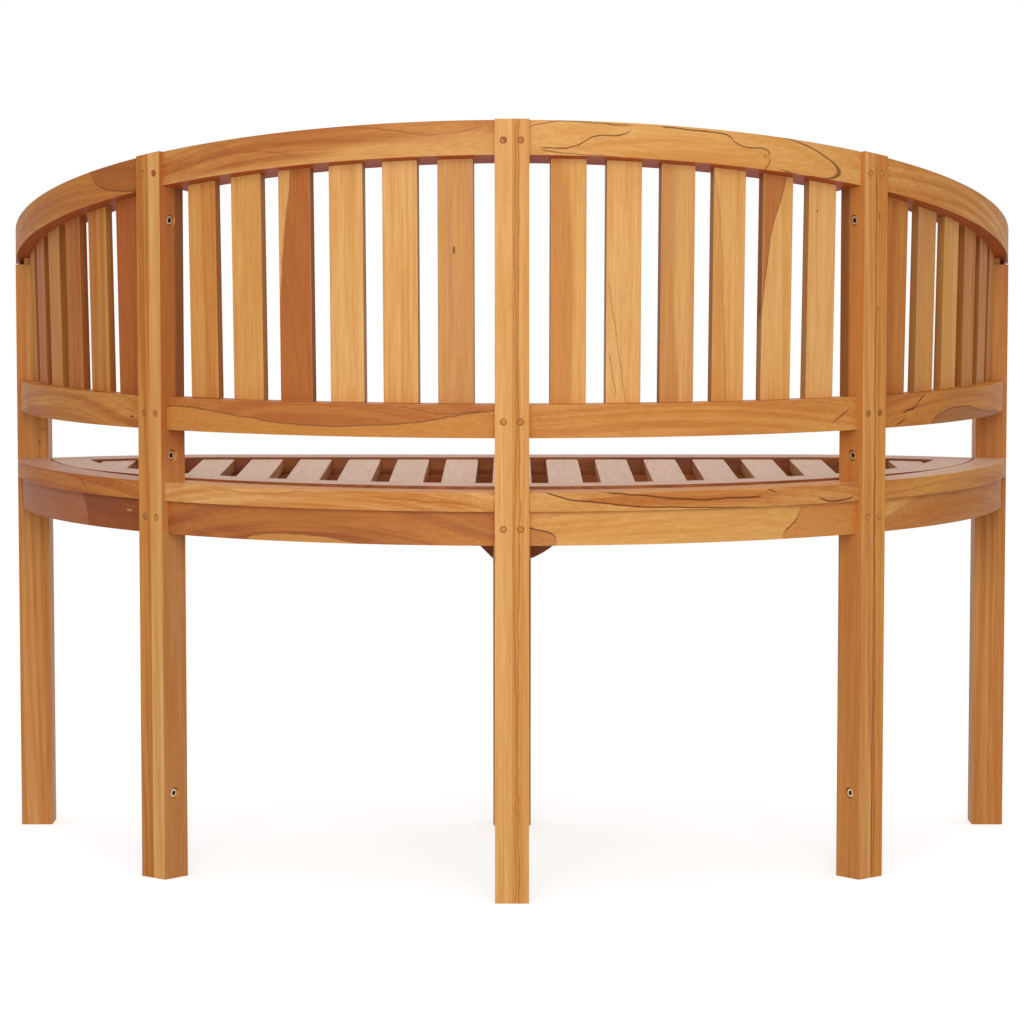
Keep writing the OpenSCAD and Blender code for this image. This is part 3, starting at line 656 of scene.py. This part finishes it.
LOOKS = {
    "plain": look("honey", "orange"),

    # Top rails
    "top_rail_inner_left": look(
        "straw", "golden",
        line([(-62, -27), (16, -24), (90, -19), (150, -16), (180, -14), (187, -12)], depth=0.6),
        line([(88, 14), (102, 5), (126, 3), (144, -6), (160, -10), (187, -11)]),
        line([(88, 14), (130, 17), (165, 17), (182, 15), (194, 12), (204, 3)], depth=0.6),
        line([(-74, 1), (-63, 3), (-44, 3), (-29, 7), (-19, 13), (19, 15), (60, 16)]),
        line([(-24, -62), (-14, -71), (-7, -73), (-4, -66), (-1, -72), (4, -60)], upright=True),
        loop((-95, 0), (70, 17), tilt=0.13, ends=(-84, -96)),
        bands=0.35, under="ember",
    ),
    "top_rail_inner_right": look(
        "honey", "reddish",
        line([(3, -16), (17, -10), (41, -3), (77, 2), (116, 3), (137, 1), (153, -3)],
             depth=0.6, tone="rust"),
        line([(-183, 14), (-161, 6), (-130, 4), (-98, 9), (-43, 16), (-21, 18)], depth=0.6, tone="rust"),
        split([(-190, 4), (-60, -2), (20, -12), (190, -14)], "straw", side=-1.0, soft=7.0, share=0.7),
        bands=0.45, under="ember",
    ),
    "top_rail_outer_right": look(
        "golden", "amber",
        split([(-180, -18), (-150, -13), (-110, 0), (-98, 16)], "rust", share=0.6, line=0.7),
        bands=0.6, under="brick",
    ),
    "top_rail_outer_left": look("straw", "orange", bands=0.6, under="brick"),

    # Low rails
    "low_rail_inner_right": look(
        "orange", "reddish",
        split([(-185, 11), (-149, 5), (-95, -3), (-28, -7), (31, -6), (87, 0), (147, 7), (190, 9)],
              "golden", side=-1.0, share=0.75, line=0.6),
        line([(-185, 12), (-140, 8), (-118, 12), (-90, 17)], depth=0.4),
    ),
    "low_rail_inner_left": look(
        "honey", "orange", line([(-185, 6), (-170, -2), (-157, -9)], width=1.4), bands=0.6),
    "low_rail_outer_right": look("honey", "reddish", spot((-161, -6), (3, 1.5))),
    "low_rail_outer_left": look(
        "golden", "reddish",
        line([(98, 18), (112, 10), (122, 2), (134, 0), (146, -5)], width=1.5, depth=0.9),
        line([(134, -7), (143, -12), (158, -16)], width=1.4, depth=0.9),
        split([(-117, -15), (-39, -8), (0, -2), (34, -2), (63, -6), (85, -17)],
              "smoky", side=-1.0, share=0.7, line=0.6),
        bands=0.4,
    ),

    # Seat boards
    "board_inner_right": look(
        "pale", "orange",
        line([(-181, -3), (-96, 2), (18, 7), (60, 4), (120, 6)], depth=0.45, tone="rust"),
        top="golden", gloss=0.15,
    ),
    "board_inner_left": look(
        "straw", "amber",
        line([(-67, 2), (3, 0), (55, 4), (127, 11)], width=1.4, depth=0.85),
        split([(-190, -15), (41, -7), (112, -3), (179, 10)],
              "straw", side=-1.0, soft=0.8, share=0.6, line=0.95),
        line([(-191, -1), (-168, -9), (-136, -3)], width=1.4, depth=0.85),
        line([(-86, 0), (-80, 6), (-72, 8), (-67, 3)], width=1.3, depth=0.85),
        top="golden", gloss=0.15,
    ),
    "board_outer_right": look(
        "golden", "reddish", line([(-84, -8), (-72, 1), (-60, 9)], depth=0.8), top="rose"),
    "board_outer_left": look("honey", "amber", bands=0.4, top="pink"),

    # Aprons
    "apron_inner_right": look(
        "orange", "rust",
        split([(-50, -19), (-15, -12), (20, -10), (67, -12), (90, -19)],
              "honey", side=-1.0, share=0.7, line=0.5),
        split([(-190, -2), (-100, 3), (40, -2), (190, 2)], "amber", soft=8.0, share=0.5),
    ),
    "apron_inner_left": look(
        "straw", "golden",
        split([(166, -18), (168, -8), (180, -3), (196, 1)], "reddish", side=-1.0, share=0.6, line=0.9),
        split([(-116, 18), (-115, 10), (-104, -4), (-96, -10), (-94, -18)],
              "orange", side=-1.0, share=0.7, line=0.95),
        bands=0.35,
    ),
    "apron_outer_right": look(
        "rust", "mauve",
        split([(-74, -18), (-70, 0), (-61, 18)], "dusky", side=-1.0, share=0.85, line=0.5),
        spot((-154, 5), (5, 1.5), tone="pale", depth=0.5),
    ),
    "apron_outer_left": look(
        "pale", "golden",
        split([(120, 14), (140, 8), (172, -3)], "reddish", side=-1.0, soft=3.0, share=0.6),
    ),
    "apron_front_left": look("amber", "rust"),
    "apron_front_right": look("amber", "rust"),

    # Seat deck: the pale pink on the tops is painted sheen, and the dark reds of the sides and of the
    # pieces under the seat are painted shade
    "deck_front_left": look("amber", "mauve", top="rose", gloss=0.5),
    "deck_front_right": look("amber", "mauve", top="rose", gloss=0.5),
    "deck_curve_left": look("amber", "mauve", top="pink", gloss=0.5),
    "deck_curve_right": look("amber", "mauve", top="pink", gloss=0.5),
    "deck_mid_left": look("amber", "mauve", top="pink", gloss=0.5),
    "deck_mid_right": look("amber", "mauve", top="pink", gloss=0.5),
    "deck_slat_left": look("tan", "rust", top="pink", gloss=0.6),
    "deck_slat_right": look("tan", "rust", top="pink", gloss=0.6),
    "bearer_middle": look("rust", "mauve"),
    "bearer_left": look("rust", "mauve"),
    "bearer_right": look("rust", "mauve"),
    "cleat_left": look("rust", "mauve"),
    "cleat_right": look("rust", "mauve"),
    "knee_left": look("rust", "mauve"),
    "knee_right": look("rust", "mauve"),
    "pegs": look("golden", "rust", bands=0.9, rim=("umber", 0.8)),
    "dowels": look("honey", "tan"),

    # Posts
    "post_back_right": look("pale", "honey", bands=0.4, heart=(0.0, -0.05, 0.02), rim=("amber", 0.5)),
    "post_back_left": look(
        "straw", "golden",
        split([(0, 2), (233, 3), (395, 1), (600, 3), (845, 2)], "golden", soft=0.8, share=0.8, line=0.4),
        line([(0, 6), (200, 5), (330, 7), (546, 5), (700, 6), (845, 5)], tone="rust", depth=0.5),
        heart=(0.0, 0.05, 0.02), rim=("amber", 0.5),
    ),
    "post_outer_right": look("honey", "amber", bands=0.6),
    "post_inner_right": look("pale", "honey", bands=0.45, flank="reddish"),
    "post_inner_left": look("straw", "orange", flank="orange"),
    "post_outer_left": look(
        "honey", "orange",
        line([(0, 8.6), (400, 8.2), (800, 8.6)], width=0.8),
        line([(0, 5), (250, 6), (480, 7)], tone="rust"),
        spot((739, 4), (6, 2), tone="rust", depth=0.6),
        spot((638, 5), (4, 1.6), tone="rust", depth=0.7),
    ),
    "post_end_right": look(
        "straw", "orange",
        spot((481, -12), (2, 2), depth=0.5),
        spot((465, -7), (3, 2), depth=0.5),
    ),
    "post_end_left": look(
        "honey", "amber",
        split([(0, -9), (300, -8), (690, -5)], "orange", side=-1.0, soft=0.8, share=0.6),
        spot((658, 2), (3, 2), depth=0.6),
    ),
    "leg_front": look("tan", "amber"),

    # Back slats, counted from the middle of the bench
    "back_slat_inner_right_1": look("honey", "tan", spot((45, 2), (5, 1.6)), bands=0.7),
    "back_slat_inner_right_2": look("pale", "honey", bands=0.6),
    "back_slat_inner_right_3": look("pale", "honey"),
    "back_slat_inner_right_4": look(
        "amber", "reddish",
        split([(-30, 20), (-10, 18), (31, 15), (82, 9), (133, 3)], "straw", share=0.85, line=0.35),
        heart=(0.18, 0.03, 0.03),
    ),
    "back_slat_inner_right_5": look(
        "straw", "golden", spot((107, 2), (1.2, 1.2), tone="pink", depth=1.0), bands=0.35),
    "back_slat_inner_right_6": look(
        "honey", "orange", split([(-120, -2), (130, 2)], "straw", soft=6.0, share=0.5)),
    "back_slat_inner_left_1": look(
        "straw", "honey",
        split([(-116, -1), (13, -6), (60, -4), (141, 5)], "orange", soft=4.0, share=0.7),
    ),
    "back_slat_inner_left_2": look(
        "pale", "honey",
        line([(-120, -4), (-57, 7), (13, 17)], depth=0.35),
        line([(-116, 7), (-62, 17)], depth=0.35),
        bands=0.3,
    ),
    "back_slat_inner_left_3": look(
        "straw", "tan", split([(-117, -2), (23, 5), (131, 10)], "amber", soft=3.0, share=0.5)),
    "back_slat_inner_left_4": look(
        "pale", "honey",
        split([(-118, 2), (1, 7), (82, 12), (122, 18)], "golden", soft=1.0, share=0.65, line=0.25),
        bands=0.3,
    ),
    "back_slat_inner_left_5": look(
        "pale", "honey",
        split([(-54, 21), (-21, 19), (22, 14), (60, 9), (98, -3), (122, -10)],
              "reddish", soft=0.8, share=0.85, line=0.5),
        bands=0.4,
    ),
    "back_slat_inner_left_6": look(
        "pale", "honey",
        spot((86, 8), (1.5, 1.2)),
        spot((86, 3), (1.2, 1.2), tone="pink", depth=1.0),
        bands=0.3,
    ),
    "back_slat_outer_right_1": look("amber", "brick", spot((100, 4), (1.2, 1.2), tone="pink"), bands=0.6),
    "back_slat_outer_right_2": look("honey", "amber"),
    "back_slat_outer_right_3": look("orange", "reddish"),
    "back_slat_outer_right_4": look("honey", "amber"),
    "back_slat_outer_right_5": look("orange", "reddish"),
    "back_slat_outer_right_6": look("honey", "amber"),
    "back_slat_outer_left_1": look("golden", "amber", bands=0.7),
    "back_slat_outer_left_2": look("honey", "tan", bands=0.4),
    "back_slat_outer_left_3": look("pale", "honey"),
    "back_slat_outer_left_4": look("honey", "amber"),
    "back_slat_outer_left_5": look("honey", "reddish"),
    "back_slat_outer_left_6": look("honey", "amber"),
}


# Studio


def seen(tree):
    """1 for rays that show the studio itself, in the camera, in gloss or through glass, and otherwise 0."""
    rays = put(tree, "ShaderNodeLightPath")
    shown = maths(tree, "MAXIMUM", rays.outputs["Is Glossy Ray"], rays.outputs["Is Transmission Ray"])
    return maths(tree, "MAXIMUM", rays.outputs["Is Camera Ray"], shown)


def studio_floor(studio):
    """Pale matt floor that shows as white, with the bench's soft shadow, and fades into the backdrop."""
    material = bpy.data.materials.new("studio_floor")
    material.use_nodes = True
    tree = material.node_tree
    shader = tree.nodes["Principled BSDF"]
    shader.inputs["Base Color"].default_value = (*studio.floor_color, 1.0)
    shader.inputs["Roughness"].default_value = 0.9
    shader.inputs["Specular IOR Level"].default_value = 0.0
    shown = seen(tree)
    lift = maths(tree, "MULTIPLY", shown, studio.floor_lift)
    glow = put(tree, "ShaderNodeEmission", {"Strength": lift})
    near = put(tree, "ShaderNodeAddShader", {0: shader.outputs[0], 1: glow.outputs[0]})
    backdrop = put(tree, "ShaderNodeEmission", {"Strength": 1.0})
    place = put(tree, "ShaderNodeTexCoord").outputs["Object"]
    reach = put(tree, "ShaderNodeVectorMath", {0: place}, operation="LENGTH").outputs["Value"]
    fade = maths(tree, "MULTIPLY", spread(tree, reach, studio.fade_start, studio.fade_end), shown)
    both = put(tree, "ShaderNodeMixShader", {0: fade, 1: near.outputs[0], 2: backdrop.outputs[0]})
    tree.links.new(both.outputs[0], tree.nodes["Material Output"].inputs["Surface"])
    return material


# Settings


class BenchFinish(bpy.types.PropertyGroup):
    post_ease: bpy.props.FloatProperty(
        name="Post edges", description="Rounding of the posts' edges", default=0.0022, unit="LENGTH")
    seam: bpy.props.FloatProperty(
        name="Seam", description="How far each middle half closes up on its mate",
        default=0.00018, unit="LENGTH")
    rail_ease: bpy.props.FloatProperty(
        name="Rail edges", description="Rounding of the edges of rails, boards and aprons",
        default=0.0016, unit="LENGTH")
    slat_ease: bpy.props.FloatProperty(
        name="Slat edges", description="Rounding of the back slats' edges", default=0.0015, unit="LENGTH")
    peg_ease: bpy.props.FloatProperty(
        name="Peg edges", description="Rounding of the ends of pegs and bolts",
        default=0.0006, unit="LENGTH")
    socket_width: bpy.props.FloatProperty(
        name="Socket width", description="Width of the socket in a bolt's head",
        default=0.005, unit="LENGTH")
    socket_depth: bpy.props.FloatProperty(
        name="Socket depth", description="Depth of the socket in a bolt's head",
        default=0.002, unit="LENGTH")


class BenchStudio(bpy.types.PropertyGroup):
    camera_y: bpy.props.FloatProperty(
        name="Camera distance", description="How far behind the bench the camera stands",
        default=4.331, unit="LENGTH")
    camera_z: bpy.props.FloatProperty(
        name="Camera height", description="Height of the camera over the floor",
        default=0.7842, unit="LENGTH")
    camera_tilt: bpy.props.FloatProperty(
        name="Camera tilt", description="How far the camera looks down",
        default=math.radians(5.064), subtype="ANGLE")
    lens: bpy.props.FloatProperty(
        name="Lens", description="Focal length in millimetres", default=133.3)
    sensor: bpy.props.FloatProperty(
        name="Sensor", description="Width of the camera's sensor in millimetres", default=36.0)
    sky: bpy.props.FloatProperty(
        name="Sky", description="Strength of the even light all round", default=0.6)
    key: bpy.props.FloatProperty(
        name="Key lamp", description="Strength of the lamp on the camera's side",
        default=82.0, unit="POWER")
    key_size: bpy.props.FloatProperty(
        name="Key lamp's size", description="Width of the key lamp", default=2.8, unit="LENGTH")
    key_place: bpy.props.FloatVectorProperty(
        name="Key lamp's place", description="Middle of the key lamp", default=(0.0, 3.6, 2.0))
    overhead: bpy.props.FloatProperty(
        name="Overhead lamp", description="Strength of the lamp above the bench",
        default=14.0, unit="POWER")
    overhead_size: bpy.props.FloatProperty(
        name="Overhead lamp's size", description="Width of the overhead lamp",
        default=2.4, unit="LENGTH")
    overhead_place: bpy.props.FloatVectorProperty(
        name="Overhead lamp's place", description="Middle of the overhead lamp", default=(0.0, -0.3, 2.9))
    lamp_aim: bpy.props.FloatVectorProperty(
        name="Lamps' aim", description="Point that both lamps look at", default=(0.0, 0.0, 0.45))
    floor_size: bpy.props.FloatProperty(
        name="Floor size", description="Width of the floor", default=40.0, unit="LENGTH")
    floor_color: bpy.props.FloatVectorProperty(
        name="Floor", description="Colour of the floor",
        default=(0.6, 0.6, 0.6), subtype="COLOR", min=0.0, max=1.0)
    floor_lift: bpy.props.FloatProperty(
        name="Floor lift", description="How much whiter the camera sees the floor than its light makes it",
        default=0.6)
    fade_start: bpy.props.FloatProperty(
        name="Fade start", description="How far from the middle the floor starts to fade to the backdrop",
        default=0.8, unit="LENGTH")
    fade_end: bpy.props.FloatProperty(
        name="Fade end", description="How far from the middle the floor has faded to the backdrop",
        default=1.5, unit="LENGTH")


class BENCH_OT_posts(bpy.types.Operator):
    """Dress the paired posts, the end posts and the front leg"""

    bl_idname = "bench.posts"
    bl_label = "Posts"

    def execute(self, context):
        finish = context.scene.bench_finish
        for node in nodes_named("post_"):
            angle = 0.0 if "back" in node else hand(node) * PANEL
            across = SIDEWAYS if "end" in node else tangent(angle)
            origin = middle(node)
            origin.z = 0.0
            piece = clean_copy(node)
            if "back" in node:
                self.close_seam(piece, -hand(node) * SIDEWAYS, finish.seam)
            name = "dressed_" + node
            finish_board(piece, name, node, origin, UP, across, finish.post_ease)
        dress_board("leg_front", UP, SIDEWAYS, finish.post_ease)
        return {"FINISHED"}

    def close_seam(self, piece, outward, gap):
        """Moves a half's inner face towards its mate, so that no light shows between them."""
        pick_end_faces(piece, outward)
        bpy.ops.transform.translate(value=outward * gap)
        bpy.ops.object.mode_set(mode="OBJECT")


class BENCH_OT_rails(bpy.types.Operator):
    """Dress the sloping top rails and the low rails"""

    bl_idname = "bench.rails"
    bl_label = "Rails"

    def execute(self, context):
        ease = context.scene.bench_finish.rail_ease
        for node in nodes_named("low_rail"):
            dress_curved(node, LOW_RAIL_FACE, ease)
        across = Vector((0.0, -math.sin(TOP_SLOPE), math.cos(TOP_SLOPE)))
        for node in nodes_named("top_rail"):
            angle = bay_middle(node)
            along = tangent(angle) - across * tangent(angle).dot(across)
            origin = CENTRE + radial(angle) * TOP_RAIL_FACE
            fall = (POST_FACE - TOP_RAIL_FACE * math.cos(angle)) * math.tan(TOP_SLOPE)
            origin.z = BACK_HEIGHT - fall - TOP_RAIL_THICKNESS / 2 / math.cos(TOP_SLOPE)
            dress_board(node, along, across, ease, origin)
        return {"FINISHED"}


class BENCH_OT_back_slats(bpy.types.Operator):
    """Split the four sets of back slats and dress each slat"""

    bl_idname = "bench.back_slats"
    bl_label = "Back slats"

    def execute(self, context):
        ease = context.scene.bench_finish.slat_ease
        for node in nodes_named("slats_"):
            side = hand(node)
            first = 0.0 if "inner" in node else PANEL

            def turn(place):
                return abs(math.atan2(place.x, place.y - CENTRE.y))

            for number, piece in enumerate(separate(clean_copy(node), turn), 1):
                angle = side * (first + number * SLAT_STEP)
                origin = CENTRE + radial(angle) * SLAT_RADIUS + UP * SLAT_MIDDLE
                name = node.replace("slats_", "back_slat_") + "_" + str(number)
                finish_board(piece, name, node, origin, UP, tangent(angle), ease)
        return {"FINISHED"}


class BENCH_OT_seat_ring(bpy.types.Operator):
    """Dress the curved seat boards, the aprons and the cleats"""

    bl_idname = "bench.seat_ring"
    bl_label = "Seat ring"

    def execute(self, context):
        ease = context.scene.bench_finish.rail_ease
        for node in frame["nodes"]:
            if node.startswith("board_"):
                dress_curved(node, BOARD_FACE, ease)
            elif node.startswith(("apron_inner", "apron_outer")):
                dress_curved(node, APRON_FACE, ease)
            elif node.startswith("apron_front"):
                dress_board(node, SIDEWAYS, UP, ease)
            elif node.startswith("cleat_"):
                dress_board(node, tangent(hand(node) * CLEAT_MIDDLE), UP, ease)
        return {"FINISHED"}


class BENCH_OT_deck(bpy.types.Operator):
    """Dress the two framed halves of the seat deck"""

    bl_idname = "bench.deck"
    bl_label = "Seat deck"

    def execute(self, context):
        ease = context.scene.bench_finish.rail_ease
        for node in frame["nodes"]:
            if node.startswith("deck_front"):
                dress_board(node, SIDEWAYS, BACKWARDS, ease)
            elif node.startswith("deck_curve"):
                angle = hand(node) * DECK_MIDDLE
                dress_board(node, tangent(angle), radial(angle), ease)
            elif node.startswith("deck_mid"):
                dress_board(node, BACKWARDS, SIDEWAYS, ease)
            elif node.startswith("deck_slats"):
                boards = separate(clean_copy(node), lambda place: abs(place.x))
                for number, piece in enumerate(boards, 1):
                    name = node.replace("slats", "slat") + "_" + str(number)
                    origin = Vector(piece.bound_box[0])
                    finish_board(piece, name, node, origin, BACKWARDS, SIDEWAYS, ease)
        return {"FINISHED"}


class BENCH_OT_supports(bpy.types.Operator):
    """Dress the bearers and the knee brackets under the seat"""

    bl_idname = "bench.supports"
    bl_label = "Supports"

    def execute(self, context):
        ease = context.scene.bench_finish.rail_ease
        for node in frame["nodes"]:
            if node.startswith("bearer_"):
                dress_board(node, BACKWARDS, SIDEWAYS, ease)
            elif node.startswith("knee_"):
                dress_board(node, UP + hand(node) * SIDEWAYS, BACKWARDS, ease)
        return {"FINISHED"}


class BENCH_OT_pegs(bpy.types.Operator):
    """Ease the ends of the pegs and dowels and give them their wood"""

    bl_idname = "bench.pegs"
    bl_label = "Pegs"

    def execute(self, context):
        ease = context.scene.bench_finish.peg_ease
        for node in ("pegs", "dowels"):
            dress_board(node, BACKWARDS, UP, ease)
        return {"FINISHED"}


class BENCH_OT_bolts(bpy.types.Operator):
    """Give the bolts, nuts and seat screws their steel"""

    bl_idname = "bench.bolts"
    bl_label = "Bolts"

    def execute(self, context):
        finish = context.scene.bench_finish
        for node in ("nuts", "deck_screws"):
            piece = frame["nodes"][node]
            piece.data.materials.clear()
            piece.data.materials.append(steel())
        halfway = POST_FACE * math.sin(PANEL) / 2
        bolts = separate(clean_copy("bolts"), lambda place: (round(place.x, 2), place.z))
        for number, piece in enumerate(bolts, 1):
            middle_x = sum(corner[0] for corner in piece.bound_box) / 8
            turn = 0.0 if abs(middle_x) < halfway else math.copysign(PANEL, middle_x)
            outward = -tangent(turn) if turn >= 0.0 else tangent(turn)
            self.sink_socket(piece, outward, finish.socket_width, finish.socket_depth)
            apply_modifier(piece, "BEVEL", width=finish.peg_ease, segments=2, limit_method="ANGLE")
            activate(piece)
            bpy.ops.object.shade_smooth_by_angle(angle=SHARP_TURN)
            piece.name = "bolt_" + str(number)
            piece.data.name = piece.name
            piece.data.materials.clear()
            piece.data.materials.append(steel())
            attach(piece, "root")
            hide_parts("bolts")
        return {"FINISHED"}

    def sink_socket(self, piece, outward, width, depth):
        """Sinks a round socket into the end face of a bolt's head."""
        pick_end_faces(piece, outward)
        bpy.ops.mesh.inset(thickness=(BOLT_HEAD - width) / 2)
        bpy.ops.mesh.extrude_region_move(TRANSFORM_OT_translate={"value": -outward * depth})
        bpy.ops.object.mode_set(mode="OBJECT")
        # Marks the socket's bottom faces for the steel's painted shade
        layer = piece.data.attributes.new("sunk", "FLOAT", "POINT")
        bottom = [1.0 if vertex.select else 0.0 for vertex in piece.data.vertices]
        layer.data.foreach_set("value", bottom)


class BENCH_OT_studio(bpy.types.Operator):
    """Set the floor, the lamps, the sky and the camera"""

    bl_idname = "bench.studio"
    bl_label = "Studio"

    def execute(self, context):
        studio = context.scene.bench_studio
        deselect()
        bpy.ops.mesh.primitive_plane_add(size=studio.floor_size)
        floor = context.active_object
        floor.name = "floor"
        floor.data.materials.append(studio_floor(studio))

        world = bpy.data.worlds.new("studio_sky")
        context.scene.world = world
        world.use_nodes = True
        tree = world.node_tree
        strength = spread(tree, seen(tree), 0.0, 1.0, studio.sky, 1.0)
        background = tree.nodes["Background"]
        background.inputs["Color"].default_value = (1.0, 1.0, 1.0, 1.0)
        tree.links.new(strength, background.inputs["Strength"])

        for name, power, size, place in (
            ("key_lamp", studio.key, studio.key_size, Vector(studio.key_place)),
            ("overhead_lamp", studio.overhead, studio.overhead_size, Vector(studio.overhead_place)),
        ):
            deselect()
            bpy.ops.object.light_add(type="AREA", location=place)
            lamp = context.active_object
            lamp.name = name
            lamp.data.energy = power
            lamp.data.size = size
            aim = Vector(studio.lamp_aim) - place
            lamp.rotation_euler = aim.to_track_quat("-Z", "Y").to_euler()

        deselect()
        bpy.ops.object.camera_add(
            location=(0.0, studio.camera_y, studio.camera_z),
            rotation=(math.pi / 2 - studio.camera_tilt, 0.0, math.pi),
        )
        camera = context.active_object
        camera.name = "photo_camera"
        camera.data.sensor_width = studio.sensor
        camera.data.lens = studio.lens
        context.scene.camera = camera
        context.scene.view_settings.view_transform = "Standard"
        return {"FINISHED"}


class BENCH_PT_panel(bpy.types.Panel):
    """Lists the steps and the settings of the bench"""

    bl_label = "Garden bench"
    bl_idname = "BENCH_PT_panel"
    bl_space_type = "VIEW_3D"
    bl_region_type = "UI"
    bl_category = "Bench"

    def draw(self, context):
        for settings in (context.scene.bench_finish, context.scene.bench_studio):
            box = self.layout.box()
            for key in settings.__annotations__:
                box.prop(settings, key)
        for step in STEPS:
            self.layout.operator(step.bl_idname)


STEPS = (
    BENCH_OT_posts,
    BENCH_OT_rails,
    BENCH_OT_back_slats,
    BENCH_OT_seat_ring,
    BENCH_OT_deck,
    BENCH_OT_supports,
    BENCH_OT_pegs,
    BENCH_OT_bolts,
    BENCH_OT_studio,
)
CLASSES = (BenchFinish, BenchStudio, *STEPS, BENCH_PT_panel)


def register():
    for item in CLASSES:
        bpy.utils.register_class(item)
    bpy.types.Scene.bench_finish = bpy.props.PointerProperty(type=BenchFinish)
    bpy.types.Scene.bench_studio = bpy.props.PointerProperty(type=BenchStudio)


def unregister():
    del bpy.types.Scene.bench_studio
    del bpy.types.Scene.bench_finish
    for item in reversed(CLASSES):
        bpy.utils.unregister_class(item)


def main():
    register()
    for step in STEPS:
        group, name = step.bl_idname.split(".")
        getattr(getattr(bpy.ops, group), name)()


if __name__ == "__main__":
    main()
